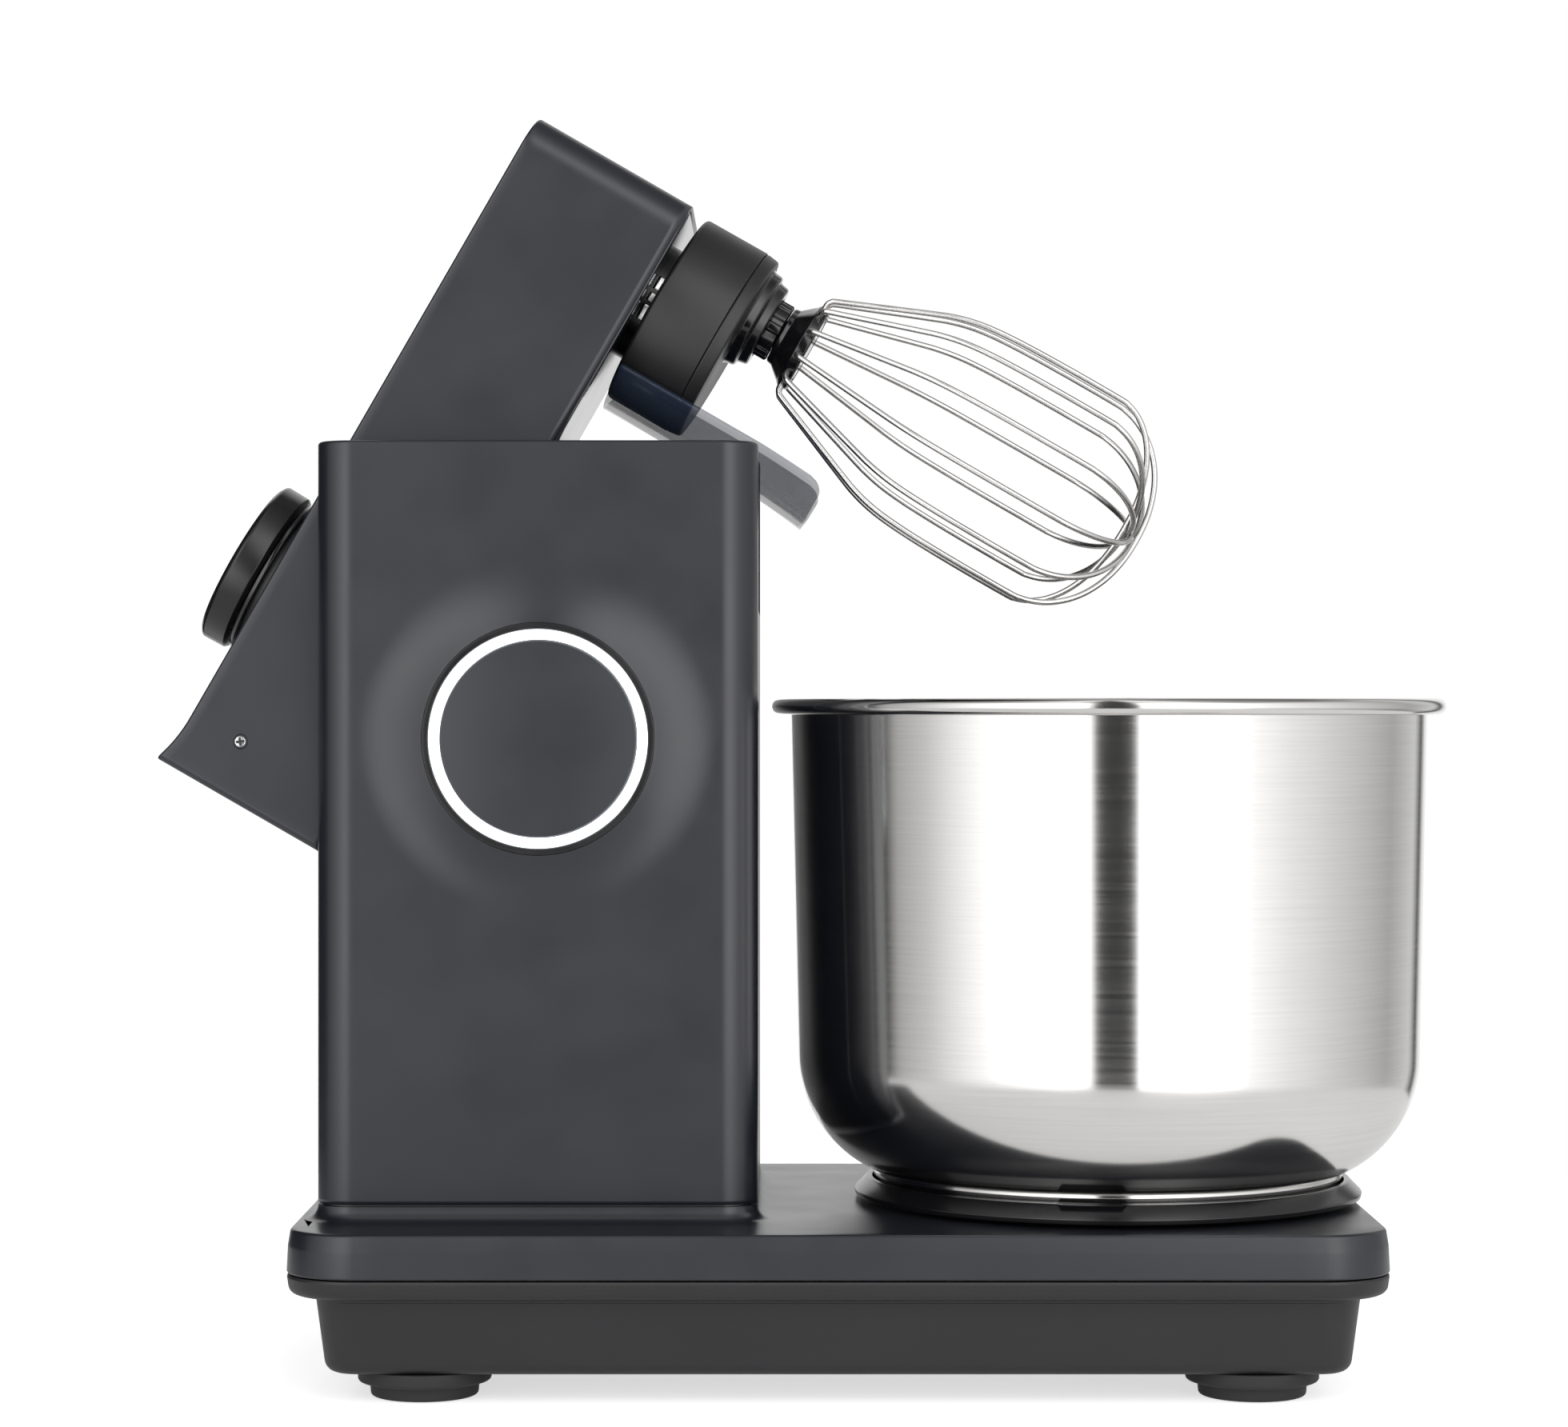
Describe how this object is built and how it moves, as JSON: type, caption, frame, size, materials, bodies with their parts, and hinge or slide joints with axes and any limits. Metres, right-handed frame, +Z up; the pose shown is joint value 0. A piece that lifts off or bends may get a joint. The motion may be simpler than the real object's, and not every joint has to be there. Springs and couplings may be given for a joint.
{
  "type": "stand mixer",
  "caption": "Tilt-head stand mixer: slotted column on a low base, turning planetary drive with wire whisk and splash shield, and a steel bowl on a turning seat.",
  "frame": {"origin": "on the table under the middle of the machine's outline, head raised", "axes": "+X from the column to the bowl, +Z up, and the lit ring faces -Y"},
  "size_m": [0.4592, 0.2428, 0.4453],
  "materials": {
    "body_paint": "satin dark charcoal paint",
    "tub_plastic": "fine textured black plastic",
    "rubber": "matt black rubber",
    "zinc": "die-cast, satin",
    "bronze": "sintered bronze",
    "polished_steel": "polished stainless steel with fine turned lines",
    "shaft_steel": "ground steel",
    "black_gloss": "gloss black plastic",
    "black_satin": "semi-gloss black plastic",
    "textured_black": "spark-textured black plastic",
    "light": "lit white diffuser",
    "smoked_clear": "smoke-tinted clear plastic",
    "circuit_board": "solder-masked board",
    "gear_nylon": "natural nylon"
  },
  "bodies": {
    "base": {"base_top": "body_paint", "base_tub": "tub_plastic", "rubber_feet": "rubber", "foot_screws": "zinc", "base_screws": "zinc", "chassis_plate": "zinc", "seat_bearing": "bronze", "column_shell": "body_paint", "slot_liner": "tub_plastic", "hinge_plates": "zinc", "hinge_axle": "shaft_steel", "counter_spring": "shaft_steel", "ring_bezel": "black_satin", "light_ring": "light", "lamp_board": "circuit_board", "button_guide": "zinc", "button_spring": "shaft_steel", "control_board": "circuit_board", "cord_gland": "tub_plastic"},
    "seat": {"seat_ring": "tub_plastic", "seat_spindle": "shaft_steel", "seat_clip": "shaft_steel"},
    "bowl": {"bowl": "polished_steel", "bowl_foot": "polished_steel"},
    "button": {"release_button": "body_paint", "latch_pin": "shaft_steel"},
    "head": {"head_shell": "body_paint", "head_underside": "tub_plastic", "head_screws": "black_satin", "hinge_arm": "zinc", "hinge_bushes": "bronze", "knob_plinth": "black_satin", "knob_ring": "polished_steel", "knob_control": "circuit_board", "motor_can": "zinc", "gear_plate": "zinc", "upper_bearing": "shaft_steel", "lower_bearing": "shaft_steel", "neck": "zinc", "ring_gear": "zinc"},
    "speed_knob": {"knob": "black_satin", "knob_spindle": "shaft_steel"},
    "rotor": {"motor_rotor": "shaft_steel", "motor_pinion": "shaft_steel"},
    "reduction": {"reduction_gear": "gear_nylon"},
    "planetary": {"output_wheel": "shaft_steel", "drive_shaft": "shaft_steel", "carrier_housing": "textured_black", "carrier_lid": "textured_black", "lid_screws": "shaft_steel", "planet_bearing": "shaft_steel", "shaft_collar": "black_gloss", "splash_shield": "smoked_clear"},
    "spindle": {"planet_gear": "shaft_steel", "whisk_shaft": "black_gloss"},
    "whisk": {"whisk_hub": "black_gloss", "whisk_wires": "polished_steel"}
  },
  "joints": [
    {"name": "head_tilt", "type": "hinge", "parent": "base", "child": "head", "pos_m": [-0.09337, 0, 0.226], "axis": [0, 1, 0], "range_deg": [0, 60]},
    {"name": "release_press", "type": "slide", "parent": "base", "child": "button", "axis": [0, 1, 0], "range_m": [0, 0.003], "stiffness_N_per_m": 1500, "springref_m": -0.001},
    {"name": "knob_turn", "type": "hinge", "parent": "head", "child": "speed_knob", "pos_m": [-0.18976, 0, 0.28165], "axis": [-0.866, 0, 0.5], "range_deg": [-30, 240]},
    {"name": "carrier_spin", "type": "hinge", "parent": "head", "child": "planetary", "pos_m": [-0.04235, 0, 0.37437], "axis": [0.866, 0, -0.5], "continuous": true},
    {"name": "reduction_spin", "type": "hinge", "parent": "head", "child": "reduction", "pos_m": [-0.08633, 0, 0.35819], "axis": [0.866, 0, -0.5], "continuous": true},
    {"name": "motor_spin", "type": "hinge", "parent": "head", "child": "rotor", "pos_m": [-0.12615, 0, 0.32922], "axis": [0.866, 0, -0.5], "continuous": true},
    {"name": "whisk_spin", "type": "hinge", "parent": "planetary", "child": "spindle", "pos_m": [-0.01803, 0, 0.37649], "axis": [0.866, 0, -0.5], "continuous": true},
    {"name": "whisk_pull", "type": "slide", "parent": "spindle", "child": "whisk", "axis": [-0.866, 0, 0.5], "range_m": [-0.014, 0]},
    {"name": "bowl_turn", "type": "hinge", "parent": "base", "child": "seat", "pos_m": [0.10823, 0, 0.06], "axis": [0, 0, 1], "continuous": true},
    {"name": "bowl_lift", "type": "slide", "parent": "seat", "child": "bowl", "axis": [0, 0, -1], "range_m": [-0.012, 0]}
  ],
  "couplings": [
    {"joint": "reduction_spin", "follows": "carrier_spin", "ratio": -3},
    {"joint": "motor_spin", "follows": "carrier_spin", "ratio": 12},
    {"joint": "whisk_spin", "follows": "carrier_spin", "ratio": -3.3333}
  ]
}
